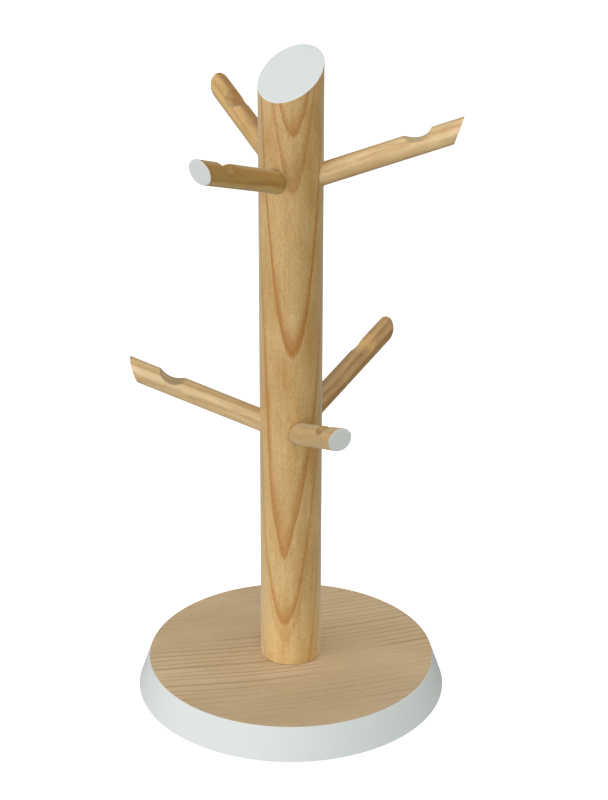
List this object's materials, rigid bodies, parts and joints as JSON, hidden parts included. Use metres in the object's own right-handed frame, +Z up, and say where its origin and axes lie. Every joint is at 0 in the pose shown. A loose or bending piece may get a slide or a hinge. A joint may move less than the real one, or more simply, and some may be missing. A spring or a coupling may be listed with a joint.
{
  "type": "mug tree",
  "caption": "Free-standing mug tree: a round wooden post with a slanted top on a round board, with notched dowel branches that slant upward on all sides.",
  "frame": {"origin": "on the post's axis, at the level the foot pads stand on", "axes": "+Z up along the post; +X toward the right-hand upper branch, with the front lower branch toward -Y"},
  "size_m": [0.1748, 0.1746, 0.366],
  "materials": {
    "post_wood": "clear satin lacquer on open-grained ash",
    "branch_wood": "clear satin lacquer on turned ash dowel",
    "base_veneer": "matt lacquer on straight-grained ash veneer",
    "painted_board": "satin white paint on fibreboard",
    "fastener_steel": "zinc plated",
    "insert_brass": "bare",
    "pad_rubber": "matt foam rubber"
  },
  "bodies": {
    "root": {"base_core": "painted_board", "base_top_veneer": "base_veneer", "base_backing_veneer": "painted_board", "foot_pad_1": "pad_rubber", "foot_pad_2": "pad_rubber", "foot_pad_3": "pad_rubber", "foot_pad_4": "pad_rubber", "post": "post_wood", "branch_upper_front_left": "branch_wood", "branch_upper_right": "branch_wood", "branch_upper_back_left": "branch_wood", "branch_lower_left": "branch_wood", "branch_lower_front_right": "branch_wood", "branch_lower_back_right": "branch_wood", "threaded_insert": "insert_brass", "bolt_washer": "fastener_steel", "base_bolt": "fastener_steel"}
  },
  "joints": []
}
